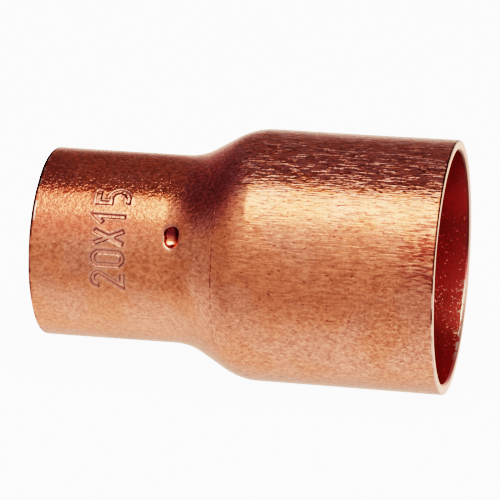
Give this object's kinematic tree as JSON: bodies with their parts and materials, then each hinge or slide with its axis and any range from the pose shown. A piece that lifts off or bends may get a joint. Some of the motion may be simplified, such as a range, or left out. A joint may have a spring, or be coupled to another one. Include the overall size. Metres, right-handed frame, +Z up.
{
  "type": "concentric pipe reducer",
  "caption": "Seamless copper solder-joint reducing coupling: a wide and a narrow tube socket on one axis, joined by a smooth taper, with a dimple tube stop.",
  "frame": {"origin": "on the tube axis, halfway between the two mouths", "axes": "+X along the axis towards the large mouth, +Z up; the dimple and the size mark face -Y and a little upwards"},
  "size_m": [0.0394, 0.0244, 0.0244],
  "materials": {
    "copper": "mill-finish drawn copper: satin, with fine scratches along the axis and light warm tarnish"
  },
  "bodies": {
    "root": {"reducer_body": "copper"}
  },
  "joints": []
}
